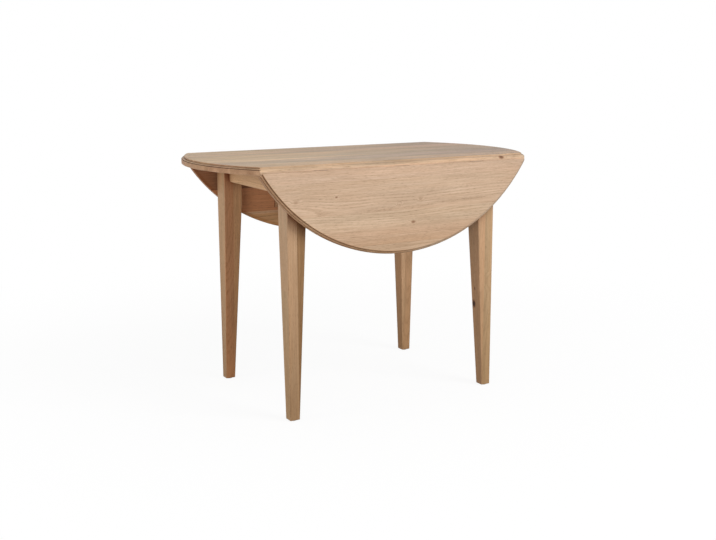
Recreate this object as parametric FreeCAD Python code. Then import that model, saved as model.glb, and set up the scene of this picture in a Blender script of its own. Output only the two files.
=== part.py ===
"""Round drop-leaf ("butterfly") table in solid oak, in millimetres.

The origin is on the floor under the middle of the table. X runs along the two rule joints, Y across
them, and Z is up. The front is -Y and the left is -X. The table is modelled with both leaves hanging.

Most pieces are drawn once, for the rear side (+Y) or the rear right corner (+X, +Y), and mirrored.
On the rear side u is the distance outwards from the hinge pin and v the height above it.
"""
import FreeCAD, Part
import math
import os
from FreeCAD import Vector

# ---- driving dimensions ---------------------------------------------------------------------------
# The top, measured with both leaves up.
table_height = 750.0
top_diameter = 1074.0
top_thickness = 22.0
centre_width = 554.0            # fixed panel, from joint line to joint line

# The moulded edge, from the top face down: a thin lip, an undercut, a quarter round, a quirk, a band.
lip_depth = 3.2
lip_inset = 9.0                 # from the widest place in to the lip
undercut_depth = 1.5            # in behind the lip
undercut_height = 2.0
ovolo_radius = 2.0              # quarter round on the floor of the undercut
ovolo_inset = 2.0               # from the widest place in to the foot of the round
quirk_height = 1.4
quirk_depth = 2.2               # in from the foot of the round
band_arris = 1.0                # lower edge of the band, which is the widest place

# The rule joint between the fixed panel and each leaf.
joint_lip = 5.0                 # upright face above the round
pin_above_underside = 5.0
joint_gap = 0.4

# Legs: square above, then tapered on the two inner faces.
leg_overhang = 100.0            # from the outer face of a leg to the end of the joint
leg_leaf_gap = 15.0             # from the outer face of a leg to the leaf that hangs beside it
leg_size = 60.0
leg_foot_size = 31.0
leg_straight = 128.0
leg_arris = 1.5
leg_corner_cut = 14.0           # flat on the inner corner, where the bolt enters

# Rails between the legs.
rail_height = 70.0
rail_thickness = 20.0
rail_setback = 18.0             # from the outer face of the legs
rail_round = 6.0                # lower outer edge
rail_arris = 1.0
groove_below_top = 9.0          # groove along the inner face, for the buttons
groove_height = 6.6
groove_depth = 7.0

# Corner blocks, with one bolt each.
block_thickness = 28.0
block_height = 46.0
block_leg_gap = 2.0             # lets the bolt pull the leg onto the rail ends
bolt_diameter = 8.0
bolt_in_leg = 36.0
bolt_past_nut = 3.0
bolt_hole_clearance = 0.5
washer_diameter = 18.0
washer_thickness = 1.6
washer_clearance = 0.2
nut_across_flats = 13.0
nut_height = 6.5
block_screw_inset = 24.0        # from the outer corner of the block, along the rail
block_screw_sink = 4.0          # head below the slanting face

# Wooden buttons that hold the top down on the rails.
button_width = 30.0
button_length = 26.0
button_tongue = 6.0
button_gap = 0.5
button_from_leg = 100.0         # from a leg to the middle of the nearest button on a side rail

# Three drop-leaf hinges on each joint.
hinge_from_leg = 5.0            # from a leg to the end of the nearest hinge
hinge_length = 50.0
hinge_plate = 2.0
hinge_knuckles = 5
knuckle_gap = 0.2
hinge_pin_diameter = 4.0
hinge_notch = 1.5               # each flap's shoulder stands back from the other's knuckles by this
frame_flap_width = 30.0
leaf_flap_width = 44.0
hinge_screw_pitch = 32.0        # the two outer screws
hinge_screw_edge = 7.0          # middle screw, from the free edge of the flap
hinge_screw_row = 8.0           # outer screws, this much nearer to the knuckle
recess_clearance = 0.3

# Two hinged props under each leaf.
prop_spacing = 240.0
prop_length = 170.0             # from the pivot to the middle of the rounded head
prop_thickness = 14.0
prop_width = 24.0
prop_arris = 2.0
prop_pivot_out = 12.0           # from the rail's outer face
prop_pivot_below_pin = 48.0
prop_pin_diameter = 5.0
prop_pin_head = 10.0
prop_pin_head_height = 1.5
prop_side_gap = 0.5
bracket_plate = 2.5
bracket_length = 66.0
bracket_height = 34.0
bracket_cheek_round = 7.5
prop_head_gap = 0.3
keep_length = 28.0
keep_width = 62.0
keep_depth = 5.0
keep_chamfer = 2.0
keep_shoulder_gap = 1.0
keep_screw_pitch = 36.0

# Nailed glides under the legs.
glide_diameter = 22.0
glide_thickness = 3.0
glide_nail_diameter = 3.0
glide_nail_length = 16.0

# Countersunk wood screws: shank, head, length.
hinge_screw = (3.5, 7.0, 16.0)
keep_screw = (3.5, 7.0, 18.0)
bracket_screw = (4.0, 8.0, 18.0)
button_screw = (4.0, 8.0, 26.0)
block_screw = (4.5, 8.5, 26.0)
screw_fit = 0.05                # a screw, nail or bolt in its hole
running_fit = 0.05              # radial, a pin in its knuckle or pivot
slot_width = 1.0                # screwdriver slot
slot_depth = 0.9

# ---- sizes that follow ----------------------------------------------------------------------------
top_radius = top_diameter / 2
underside = table_height - top_thickness
joint_line = centre_width / 2
pin_height = underside + pin_above_underside
joint_radius = top_thickness - joint_lip - pin_above_underside
beyond = top_radius + top_thickness          # past the edge of everything
leaf_inner_face = joint_line - pin_above_underside      # of a hanging leaf
joint_end = math.sqrt(top_radius ** 2 - joint_line ** 2)
leg_outer_x = joint_end - leg_overhang
leg_outer_y = leaf_inner_face - leg_leaf_gap
rail_face_x = leg_outer_x - rail_setback     # outer faces of the rails
rail_face_y = leg_outer_y - rail_setback
knuckle_radius = pin_above_underside
hinge_shoulder = knuckle_radius + hinge_notch
block_mid = underside - rail_height / 2

# Places along X of the buttons on the side rails, the hinges and the props.
outer_button = leg_outer_x - leg_size - button_from_leg
button_positions_x = (-outer_button, 0.0, outer_button)
outer_hinge = leg_outer_x - leg_size - hinge_from_leg - hinge_length / 2
hinge_positions_x = (-outer_hinge, 0.0, outer_hinge)
prop_positions_x = (-prop_spacing / 2, prop_spacing / 2)

# The prop's pivot, and the place and slope of its head when the leaf is up.
pivot_u = rail_face_y + prop_pivot_out - joint_line
head_drop = pin_above_underside + prop_head_gap + prop_thickness / 2
prop_rise = prop_pivot_below_pin - head_drop
head_u = pivot_u + math.sqrt(prop_length ** 2 - prop_rise ** 2)
keep_shoulder = head_u + prop_thickness / 2 + keep_shoulder_gap

X = Vector(1, 0, 0)
Y = Vector(0, 1, 0)
Z = Vector(0, 0, 1)
ORIGIN = Vector(0, 0, 0)


# ---- helpers --------------------------------------------------------------------------------------
def box(x0, x1, y0, y1, z0, z1):
    """A block between two opposite corners."""
    return Part.makeBox(x1 - x0, y1 - y0, z1 - z0, Vector(x0, y0, z0))


def joint_point(u, v, x=0.0):
    """A place beside the rear joint, from its distance outwards and above the hinge pin."""
    return Vector(x, joint_line + u, pin_height + v)


def joint_box(x0, x1, u0, u1, v0, v1):
    """A block beside the rear joint."""
    return box(x0, x1, joint_line + u0, joint_line + u1, pin_height + v0, pin_height + v1)


def outline(start, *steps):
    """A closed face from points, joined by straight edges. A pair (middle, end) is an arc."""
    edges = []
    here = start
    for step in steps:
        if isinstance(step, tuple):
            edges.append(Part.Arc(here, step[0], step[1]).toShape())
            here = step[1]
        else:
            edges.append(Part.LineSegment(here, step).toShape())
            here = step
    if here != start:
        edges.append(Part.LineSegment(here, start).toShape())
    return Part.Face(Part.Wire(edges))


def drawn_along(face, direction, length):
    """A face drawn out to a bar that is centred on the face's own plane."""
    bar = face.extrude(direction * length)
    bar.translate(direction * (-length / 2))
    return bar


def mirrored(shape, side_x, side_y):
    """The shape drawn at the rear right, moved to another corner or side by mirroring."""
    if side_x < 0:
        shape = shape.mirror(ORIGIN, X)
    if side_y < 0:
        shape = shape.mirror(ORIGIN, Y)
    return shape


def hung(shape):
    """A piece of the rear leaf, drawn with the leaf up, turned down about the hinge pin."""
    turned = shape.copy()
    turned.rotate(joint_point(0, 0), X, -90)
    return turned


def screw(size, head_at, direction, grow=0.0):
    """A slotted countersunk wood screw, or the hole for it when it is grown."""
    shank, head, length = size
    cone = Part.makeCone(head / 2 + grow, shank / 2 + grow, (head - shank) / 2)
    body = cone.fuse(Part.makeCylinder(shank / 2 + grow, length + grow))
    if grow == 0.0:
        slot = box(-head, head, -slot_width / 2, slot_width / 2, 0, slot_depth)
        body = body.cut(slot)
    body.Placement = FreeCAD.Placement(head_at, FreeCAD.Rotation(Z, direction))
    return body


def cut_all(shape, tools):
    """The shape less every tool."""
    return shape.cut(Part.makeCompound(tools))


# ---- the top --------------------------------------------------------------------------------------
def moulded_disc():
    """The whole round top with its moulded edge, spun about the table's middle."""
    lip = top_radius - lip_inset
    lip_foot = table_height - lip_depth
    undercut = lip - undercut_depth
    ledge = lip_foot - undercut_height
    ovolo_foot = ledge - ovolo_radius
    ovolo_edge = top_radius - ovolo_inset
    round_centre = Vector(ovolo_edge - ovolo_radius, 0, ovolo_foot)
    half = ovolo_radius * math.sqrt(0.5)
    band_top = ovolo_foot - quirk_height
    section = outline(
        Vector(0, 0, table_height),
        Vector(lip, 0, table_height),
        Vector(lip, 0, lip_foot),
        Vector(undercut, 0, lip_foot),
        Vector(undercut, 0, ledge),
        round_centre + Z * ovolo_radius,
        (round_centre + Vector(half, 0, half), round_centre + X * ovolo_radius),
        Vector(ovolo_edge - quirk_depth, 0, ovolo_foot),
        Vector(ovolo_edge - quirk_depth, 0, band_top),
        Vector(top_radius, 0, band_top),
        Vector(top_radius, 0, underside + band_arris),
        Vector(top_radius - band_arris, 0, underside),
        Vector(0, 0, underside),
    )
    return section.revolve(ORIGIN, Z, 360)


def centre_section():
    """Cross-section of the fixed panel: its long edges are rounds about the hinge pins."""
    lowest = math.asin(pin_above_underside / joint_radius)
    middle = (math.pi / 2 - lowest) / 2
    round_middle = Vector(0, joint_radius * math.cos(middle), joint_radius * math.sin(middle))
    round_end = Vector(0, joint_radius * math.cos(lowest), -pin_above_underside)
    rear_pin = joint_point(0, 0)
    rear_top = Vector(0, joint_line, table_height)
    rear_start = rear_pin + Vector(0, 0, joint_radius)
    rear_middle = rear_pin + round_middle
    rear_end = rear_pin + round_end
    front = [Vector(0, -p.y, p.z) for p in (rear_top, rear_start, rear_middle, rear_end)]
    return outline(rear_top, rear_start, (rear_middle, rear_end), front[3], (front[2], front[1]), front[0])


def leaf_section():
    """Cross-section of the rear leaf while it is up: its joint edge is hollowed about the pin."""
    radius = joint_radius + joint_gap
    half = radius * math.sqrt(0.5)
    start_v = math.sqrt(radius ** 2 - joint_gap ** 2)
    return outline(
        joint_point(joint_gap, joint_radius + joint_lip),
        joint_point(joint_gap, start_v),
        (joint_point(half, half), joint_point(radius, 0)),
        joint_point(radius, -pin_above_underside),
        joint_point(beyond, -pin_above_underside),
        joint_point(beyond, joint_radius + joint_lip),
    )


def centre_top():
    """The fixed panel, with recesses for the hinges and holes for their screws and the buttons'."""
    panel = moulded_disc().common(drawn_along(centre_section(), X, 2 * beyond))
    tools = []
    for side in (1, -1):
        for x in hinge_positions_x:
            tools.append(mirrored(frame_hinge_recess(x), 1, side))
            tools += [mirrored(s, 1, side) for s in frame_flap_screws(x, screw_fit)]
    tools += button_screws(screw_fit)
    return cut_all(panel, tools)


def rear_leaf():
    """The rear leaf, hanging, with recesses for the hinges and holes for screws."""
    panel = moulded_disc().common(drawn_along(leaf_section(), X, 2 * beyond))
    tools = []
    for x in hinge_positions_x:
        tools.append(leaf_hinge_recess(x))
        tools += leaf_flap_screws(x, screw_fit)
    for x in prop_positions_x:
        tools += keep_screws(x, screw_fit)
    return hung(cut_all(panel, tools))


# ---- hinges ---------------------------------------------------------------------------------------
def frame_hinge_recess(x):
    """Room in the fixed panel for one hinge: the knuckles, the leaf flap's swing, and the flap."""
    reach = hinge_length / 2 + recess_clearance
    bore = knuckle_radius + recess_clearance
    groove = Part.makeCylinder(bore, 2 * reach, joint_point(0, 0, x - reach), X)
    swing = joint_box(x - reach, x + reach, -bore, joint_radius + joint_gap, -2 * bore, 0)
    flap = joint_box(x - reach, x + reach, -frame_flap_width - recess_clearance, 0,
                     -2 * bore, hinge_plate - pin_above_underside)
    return groove.fuse([swing, flap])


def leaf_hinge_recess(x):
    """Room in the leaf, while it is up, for the leaf flap of one hinge."""
    reach = hinge_length / 2 + recess_clearance
    return joint_box(x - reach, x + reach, 0, leaf_flap_width + recess_clearance,
                     -2 * knuckle_radius, hinge_plate - pin_above_underside)


def flap(x, width, outwards, first_knuckle):
    """One half of a hinge. The plate lies in the underside, and every other knuckle is its own."""
    start = x - hinge_length / 2
    plate_top = hinge_plate - knuckle_radius
    near, far = sorted((outwards * hinge_shoulder, outwards * width))
    body = joint_box(start, start + hinge_length, near, far, -knuckle_radius, plate_top)
    pitch = hinge_length / hinge_knuckles
    pieces = []
    for index in range(first_knuckle, hinge_knuckles, 2):
        left = start + index * pitch + knuckle_gap / 2
        right = start + (index + 1) * pitch - knuckle_gap / 2
        pieces.append(Part.makeCylinder(knuckle_radius, right - left, joint_point(0, 0, left), X))
        near, far = sorted((0, outwards * (hinge_shoulder + hinge_notch)))
        pieces.append(joint_box(left, right, near, far, -knuckle_radius, plate_top))
    body = body.fuse(pieces).removeSplitter()
    bore = hinge_pin_diameter / 2 + running_fit
    return body.cut(Part.makeCylinder(bore, hinge_length, joint_point(0, 0, start), X))


def flap_screw_places(x, width, outwards):
    """Three screws in a flap: one near its free edge and two nearer to the knuckles."""
    edge = width - hinge_screw_edge
    half = hinge_screw_pitch / 2
    places = ((x, edge), (x - half, edge - hinge_screw_row), (x + half, edge - hinge_screw_row))
    return [joint_point(outwards * u, -pin_above_underside, px) for px, u in places]


def frame_flap_screws(x, grow=0.0):
    """The screws of one flap in the fixed panel."""
    return [screw(hinge_screw, p, Z, grow) for p in flap_screw_places(x, frame_flap_width, -1)]


def leaf_flap_screws(x, grow=0.0):
    """The screws of one flap in the leaf, drawn with the leaf up."""
    return [screw(hinge_screw, p, Z, grow) for p in flap_screw_places(x, leaf_flap_width, 1)]


def frame_flap(x):
    """The shorter flap, which is screwed to the fixed panel."""
    return cut_all(flap(x, frame_flap_width, -1, 0), frame_flap_screws(x, screw_fit))


def leaf_flap(x):
    """The longer flap, which is screwed to the leaf, hanging."""
    return hung(cut_all(flap(x, leaf_flap_width, 1, 1), leaf_flap_screws(x, screw_fit)))


def hinge_pin(x):
    """The pin through one hinge's knuckles."""
    return Part.makeCylinder(hinge_pin_diameter / 2, hinge_length, joint_point(0, 0, x - hinge_length / 2), X)


# ---- the frame ------------------------------------------------------------------------------------
def leg_section(size, z):
    """A square with eased corners. Its outer corner stays under the outer corner of the leg."""
    x1 = leg_outer_x
    y1 = leg_outer_y
    x0 = x1 - size
    y0 = y1 - size
    a = leg_arris
    points = [(x0 + a, y0), (x1 - a, y0), (x1, y0 + a), (x1, y1 - a),
              (x1 - a, y1), (x0 + a, y1), (x0, y1 - a), (x0, y0 + a)]
    corners = [Vector(x, y, z) for x, y in points]
    return Part.makePolygon(corners + corners[:1])


def rear_right_leg():
    """A leg: straight at the rails, then tapered, with its inner corner cut for the bolt."""
    sections = [leg_section(leg_foot_size, glide_thickness),
                leg_section(leg_size, underside - leg_straight),
                leg_section(leg_size, underside)]
    leg = Part.makeLoft(sections, True, True)
    inner = Vector(leg_outer_x - leg_size, leg_outer_y - leg_size, underside - rail_height)
    corner = outline(inner, inner + X * leg_corner_cut, inner + Y * leg_corner_cut)
    tools = [corner.extrude(Z * rail_height)]
    tools.append(bolt(screw_fit))
    tools.append(glide_nail(screw_fit))
    return cut_all(leg, tools)


def rail_bar(length):
    """A rail along X. Its outer face is at y = 0 and its top at z = 0."""
    half = rail_round * (1 - math.sqrt(0.5))
    groove_top = -groove_below_top
    groove_foot = groove_top - groove_height
    groove_bed = -rail_thickness + groove_depth
    section = outline(
        Vector(0, 0, 0),
        Vector(0, 0, -rail_height + rail_round),
        (Vector(0, -half, -rail_height + half), Vector(0, -rail_round, -rail_height)),
        Vector(0, -rail_thickness + rail_arris, -rail_height),
        Vector(0, -rail_thickness, -rail_height + rail_arris),
        Vector(0, -rail_thickness, groove_foot),
        Vector(0, groove_bed, groove_foot),
        Vector(0, groove_bed, groove_top),
        Vector(0, -rail_thickness, groove_top),
        Vector(0, -rail_thickness, 0),
    )
    return drawn_along(section, X, length)


def to_side_rail(shape, x=0.0):
    """A shape drawn on rail_bar, set at the rear rail."""
    placed = shape.copy()
    placed.translate(Vector(x, rail_face_y, underside))
    return placed


def to_end_rail(shape):
    """A shape drawn on rail_bar, turned and set at the right end rail."""
    placed = shape.copy()
    placed.rotate(ORIGIN, Z, -90)
    placed.translate(Vector(rail_face_x, 0, underside))
    return placed


def rear_side_rail():
    """The rear rail, with holes for the prop brackets' and the corner blocks' screws."""
    rail = to_side_rail(rail_bar(2 * (leg_outer_x - leg_size)))
    tools = [s for x in prop_positions_x for s in bracket_screws(x, screw_fit)]
    side = side_block_screw(screw_fit)
    tools += [side, mirrored(side, -1, 1)]
    return cut_all(rail, tools)


def right_end_rail():
    """The right end rail, with holes for the corner blocks' screws."""
    rail = to_end_rail(rail_bar(2 * (leg_outer_y - leg_size)))
    end = end_block_screw(screw_fit)
    return cut_all(rail, [end, mirrored(end, 1, -1)])


# ---- corner blocks and bolts ----------------------------------------------------------------------
# The bolt's axis lies on the diagonal of the leg. A distance along it is taken from the leg's
# uncut inner corner, positive towards the leg.
diagonal = Vector(math.sqrt(0.5), math.sqrt(0.5), 0)
bolt_datum = Vector(leg_outer_x - leg_size, leg_outer_y - leg_size, block_mid)
cut_face = leg_corner_cut * math.sqrt(0.5)
block_outer = cut_face - block_leg_gap
block_inner = block_outer - block_thickness
bolt_start = block_inner - washer_thickness - nut_height - bolt_past_nut


def on_bolt(distance):
    """A place on the bolt's axis."""
    return bolt_datum + diagonal * distance


def bolt_rod(radius, start, end):
    """A cylinder on the bolt's axis."""
    return Part.makeCylinder(radius, end - start, on_bolt(start), diagonal)


def bolt(grow=0.0):
    """The hanger bolt, or its hole in the leg when it is grown."""
    return bolt_rod(bolt_diameter / 2 + grow, bolt_start, cut_face + bolt_in_leg + grow)


def washer():
    """The washer on the block's inner face."""
    bore = bolt_rod(bolt_diameter / 2 + washer_clearance, block_inner - washer_thickness, block_inner)
    return bolt_rod(washer_diameter / 2, block_inner - washer_thickness, block_inner).cut(bore)


def nut():
    """The hexagon nut on the washer."""
    seat = block_inner - washer_thickness
    corner_radius = nut_across_flats / math.sqrt(3)
    corners = []
    for index in range(6):
        angle = math.radians(60 * index)
        corners.append(Vector(corner_radius * math.cos(angle), corner_radius * math.sin(angle), 0))
    prism = Part.Face(Part.makePolygon(corners + corners[:1])).extrude(Z * nut_height)
    prism.Placement = FreeCAD.Placement(on_bolt(seat - nut_height), FreeCAD.Rotation(Z, diagonal))
    return prism.cut(bolt_rod(bolt_diameter / 2 + screw_fit, seat - nut_height, seat))


def block_edge(distance, x=None, y=None):
    """Where the block's face at this distance along the bolt meets a rail's inner face."""
    total = bolt_datum.x + bolt_datum.y + distance / math.sqrt(0.5)
    if x is None:
        return Vector(total - y, y, 0)
    return Vector(x, total - x, 0)


def corner_block():
    """The block across the rear right corner, with holes for its bolt and two screws."""
    x = rail_face_x - rail_thickness
    y = rail_face_y - rail_thickness
    section = outline(block_edge(block_outer, x=x), block_edge(block_outer, y=y),
                      block_edge(block_inner, y=y), block_edge(block_inner, x=x))
    block = section.extrude(Z * block_height)
    block.translate(Z * (block_mid - block_height / 2))
    hole = bolt_rod(bolt_diameter / 2 + bolt_hole_clearance, block_inner, block_outer)
    tools = [hole, end_block_screw(screw_fit), side_block_screw(screw_fit)]
    tools += [screw_well(end_block_seat(), X), screw_well(side_block_seat(), Y)]
    return cut_all(block, tools)


def end_block_seat():
    """Head of the screw from the block into the end rail."""
    y = block_edge(block_outer, x=rail_face_x - rail_thickness).y - block_screw_inset
    x = block_edge(block_inner, y=y).x + block_screw_sink
    return Vector(x, y, block_mid)


def side_block_seat():
    """Head of the screw from the block into the side rail."""
    x = block_edge(block_outer, y=rail_face_y - rail_thickness).x - block_screw_inset
    y = block_edge(block_inner, x=x).y + block_screw_sink
    return Vector(x, y, block_mid)


def screw_well(seat, direction):
    """The counterbore that lets a screw's head into the slanting face of the block."""
    head = block_screw[1]
    return Part.makeCylinder(head / 2 + screw_fit, block_thickness, seat, direction * -1)


def end_block_screw(grow=0.0):
    """The screw from the block into the end rail."""
    return screw(block_screw, end_block_seat(), X, grow)


def side_block_screw(grow=0.0):
    """The screw from the block into the side rail."""
    return screw(block_screw, side_block_seat(), Y, grow)


# ---- buttons --------------------------------------------------------------------------------------
def button():
    """A button on rail_bar. Its tongue hooks under the top wall of the groove."""
    foot = -groove_below_top - button_tongue
    tongue_tip = -rail_thickness + groove_depth - button_gap
    heel = -rail_thickness - button_gap - button_length
    half = button_width / 2
    body = box(-half, half, heel, -rail_thickness - button_gap, foot, -button_gap)
    tongue = box(-half, half, -rail_thickness - button_length / 2, tongue_tip, foot, -groove_below_top)
    return body.fuse(tongue).removeSplitter().cut(button_screw_up(screw_fit))


def button_screw_up(grow=0.0):
    """The screw through a button into the top, drawn on rail_bar."""
    head_at = Vector(0, -rail_thickness - button_gap - button_length / 2, -groove_below_top - button_tongue)
    return screw(button_screw, head_at, Z, grow)


def at_all_buttons(shape):
    """Copies of a shape drawn on rail_bar, at every button."""
    copies = []
    for x in button_positions_x:
        copies.append(to_side_rail(shape, x))
        copies.append(mirrored(to_side_rail(shape, x), 1, -1))
    copies.append(to_end_rail(shape))
    copies.append(mirrored(to_end_rail(shape), -1, 1))
    return copies


def button_screws(grow=0.0):
    """Every button's screw."""
    return at_all_buttons(button_screw_up(grow))


# ---- props ----------------------------------------------------------------------------------------
def prop_pivot(x=0.0):
    """The prop's pivot."""
    return joint_point(pivot_u, -prop_pivot_below_pin, x)


def prop_arm(x):
    """A prop, hanging from its pivot. Both ends are round."""
    radius = prop_thickness / 2
    top = prop_pivot(x)
    foot = top - Z * prop_length
    side = outline(top + Y * radius, foot + Y * radius, (foot - Z * radius, foot - Y * radius),
                   top - Y * radius, (top + Z * radius, top + Y * radius))
    bar = drawn_along(side, X, prop_width)
    rim = [e for e in bar.Edges if abs(abs(e.CenterOfMass.x - x) - prop_width / 2) < 1e-6]
    bar = bar.makeFillet(prop_arris, rim)
    return bar.cut(prop_rod(x, prop_pin_diameter / 2 + running_fit, 2 * prop_width))


def prop_rod(x, radius, length):
    """A cylinder on the prop's pivot, centred on the prop."""
    return Part.makeCylinder(radius, length, prop_pivot(x - length / 2), X)


def cheek_reach():
    """From the middle of the prop to the outer face of a cheek of its bracket."""
    return prop_width / 2 + prop_side_gap + bracket_plate


def prop_bracket(x):
    """The folded plate that carries a prop: a back on the rail's face and two cheeks."""
    pivot = prop_pivot(x)
    back = box(x - bracket_length / 2, x + bracket_length / 2, rail_face_y, rail_face_y + bracket_plate,
               pivot.z - bracket_height / 2, pivot.z + bracket_height / 2)
    pieces = []
    for start in (x - cheek_reach(), x + cheek_reach() - bracket_plate):
        end = start + bracket_plate
        pieces.append(box(start, end, rail_face_y, pivot.y,
                          pivot.z - bracket_cheek_round, pivot.z + bracket_cheek_round))
        pieces.append(Part.makeCylinder(bracket_cheek_round, bracket_plate, prop_pivot(start), X))
    body = back.fuse(pieces).removeSplitter()
    tools = [prop_rod(x, prop_pin_diameter / 2 + running_fit, 2 * cheek_reach())]
    return cut_all(body, tools + bracket_screws(x, screw_fit))


def bracket_screws(x, grow=0.0):
    """Four screws through a bracket's back into the side rail."""
    across = (bracket_length / 2 + cheek_reach()) / 2
    up = bracket_height / 4
    pivot = prop_pivot(x)
    screws = []
    for dx in (-across, across):
        for dz in (-up, up):
            head_at = Vector(x + dx, rail_face_y + bracket_plate, pivot.z + dz)
            screws.append(screw(bracket_screw, head_at, Y * -1, grow))
    return screws


def prop_pin(x):
    """The rivet through the cheeks and the prop."""
    stem = prop_rod(x, prop_pin_diameter / 2, 2 * cheek_reach())
    heads = []
    for start in (x - cheek_reach() - prop_pin_head_height, x + cheek_reach()):
        heads.append(Part.makeCylinder(prop_pin_head / 2, prop_pin_head_height, prop_pivot(start), X))
    return stem.fuse(heads)


def prop_keep(x):
    """The block on the leaf that the prop's head stops against, drawn with the leaf up."""
    bed = -pin_above_underside
    foot = bed - keep_depth
    near = keep_shoulder
    far = keep_shoulder + keep_length
    side = outline(joint_point(near, bed, x), joint_point(near, foot + keep_chamfer, x),
                   joint_point(near + keep_chamfer, foot, x), joint_point(far - keep_chamfer, foot, x),
                   joint_point(far, foot + keep_chamfer, x), joint_point(far, bed, x))
    return cut_all(drawn_along(side, X, keep_width), keep_screws(x, screw_fit))


def keep_screws(x, grow=0.0):
    """Two screws through a keep into the leaf, drawn with the leaf up."""
    u = keep_shoulder + keep_length / 2
    v = -pin_above_underside - keep_depth
    places = [joint_point(u, v, x + dx) for dx in (-keep_screw_pitch / 2, keep_screw_pitch / 2)]
    return [screw(keep_screw, place, Z, grow) for place in places]


# ---- glides ---------------------------------------------------------------------------------------
def glide_middle():
    """The middle of the rear right foot."""
    return Vector(leg_outer_x - leg_foot_size / 2, leg_outer_y - leg_foot_size / 2, 0)


def glide_nail(grow=0.0):
    """The nail of a glide, or its hole."""
    start = glide_middle() + Z * glide_thickness
    return Part.makeCylinder(glide_nail_diameter / 2 + grow, glide_nail_length + grow, start)


def glide():
    """The glide under the rear right leg."""
    pad = Part.makeCylinder(glide_diameter / 2, glide_thickness, glide_middle())
    rim = [e for e in pad.Edges if len(e.Vertexes) == 1 and e.CenterOfMass.z < glide_thickness / 2]
    return pad.makeChamfer(glide_thickness / 3, rim).fuse(glide_nail()).removeSplitter()


# ---- nodes ----------------------------------------------------------------------------------------
os.makedirs("parts", exist_ok=True)
SIDES = {"front": -1, "rear": 1}
ENDS = {"left": -1, "right": 1}


def write(name, *shapes):
    """Writes one node, as one solid or a group of separate solids."""
    solids = [solid for shape in shapes for solid in shape.Solids]
    node = solids[0] if len(solids) == 1 else Part.makeCompound(solids)
    node.exportStep("parts/" + name + ".step")


write("centre_top", centre_top())
for side, side_y in SIDES.items():
    write("leaf_" + side, mirrored(rear_leaf(), 1, side_y))
    write("side_rail_" + side, mirrored(rear_side_rail(), 1, side_y))
    for number, x in enumerate(hinge_positions_x, 1):
        write("hinge_top_flap_%s_%d" % (side, number), mirrored(frame_flap(x), 1, side_y))
        write("hinge_leaf_flap_%s_%d" % (side, number), mirrored(leaf_flap(x), 1, side_y))
    write("hinge_pins_" + side, *[mirrored(hinge_pin(x), 1, side_y) for x in hinge_positions_x])
    flap_screws = [s for x in hinge_positions_x for s in leaf_flap_screws(x)]
    write("hinge_screws_leaf_" + side, *[mirrored(hung(s), 1, side_y) for s in flap_screws])
    stop_screws = [s for x in prop_positions_x for s in keep_screws(x)]
    write("prop_keep_screws_" + side, *[mirrored(hung(s), 1, side_y) for s in stop_screws])
    for end, x in zip(ENDS, prop_positions_x):
        place = side + "_" + end
        write("prop_bracket_" + place, mirrored(prop_bracket(x), 1, side_y))
        write("prop_arm_" + place, mirrored(prop_arm(x), 1, side_y))
        write("prop_keep_" + place, mirrored(hung(prop_keep(x)), 1, side_y))
    for end, side_x in ENDS.items():
        place = side + "_" + end
        write("leg_" + place, mirrored(rear_right_leg(), side_x, side_y))
        write("corner_block_" + place, mirrored(corner_block(), side_x, side_y))
for end, side_x in ENDS.items():
    write("end_rail_" + end, mirrored(right_end_rail(), side_x, 1))

corners = [(side_x, side_y) for side_x in ENDS.values() for side_y in SIDES.values()]
write("hanger_bolts", *[mirrored(bolt(), *corner) for corner in corners])
write("hanger_washers", *[mirrored(washer(), *corner) for corner in corners])
write("hanger_nuts", *[mirrored(nut(), *corner) for corner in corners])
write("foot_glides", *[mirrored(glide(), *corner) for corner in corners])
block_screws = [end_block_screw(), side_block_screw()]
write("corner_block_screws", *[mirrored(s, *corner) for corner in corners for s in block_screws])
write("top_buttons", *at_all_buttons(button()))
write("top_button_screws", *button_screws())
panel_screws = [s for x in hinge_positions_x for s in frame_flap_screws(x)]
write("hinge_screws_top", *[mirrored(s, 1, side_y) for side_y in SIDES.values() for s in panel_screws])
rail_screws = [s for x in prop_positions_x for s in bracket_screws(x)]
write("prop_bracket_screws", *[mirrored(s, 1, side_y) for side_y in SIDES.values() for s in rail_screws])
write("prop_pins", *[mirrored(prop_pin(x), 1, side_y) for side_y in SIDES.values() for x in prop_positions_x])
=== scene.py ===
# %% [markdown]
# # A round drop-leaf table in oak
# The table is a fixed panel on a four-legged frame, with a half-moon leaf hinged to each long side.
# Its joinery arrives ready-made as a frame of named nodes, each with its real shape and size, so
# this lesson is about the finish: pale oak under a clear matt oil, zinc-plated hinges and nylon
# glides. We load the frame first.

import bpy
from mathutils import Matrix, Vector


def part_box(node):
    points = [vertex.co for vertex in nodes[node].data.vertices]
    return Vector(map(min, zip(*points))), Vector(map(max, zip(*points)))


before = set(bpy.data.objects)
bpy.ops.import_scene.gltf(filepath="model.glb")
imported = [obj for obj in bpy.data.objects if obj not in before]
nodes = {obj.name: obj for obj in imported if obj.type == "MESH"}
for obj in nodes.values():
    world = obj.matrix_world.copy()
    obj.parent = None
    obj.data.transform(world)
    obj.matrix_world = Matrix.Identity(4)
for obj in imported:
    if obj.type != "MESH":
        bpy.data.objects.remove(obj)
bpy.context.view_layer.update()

# %% Tools and units
import math

import bpy
from mathutils import Matrix, Quaternion, Vector

mm = 0.001
X_AXIS, Y_AXIS, Z_AXIS = Vector((1, 0, 0)), Vector((0, 1, 0)), Vector((0, 0, 1))


def direction_at(bearing, rise):
    """The direction at an angle from the front, round to the right, and one above the level."""
    turn, lift = math.radians(bearing), math.radians(rise)
    return Vector((math.sin(turn) * math.cos(lift),
                   -math.cos(turn) * math.cos(lift),
                   math.sin(lift)))


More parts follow.
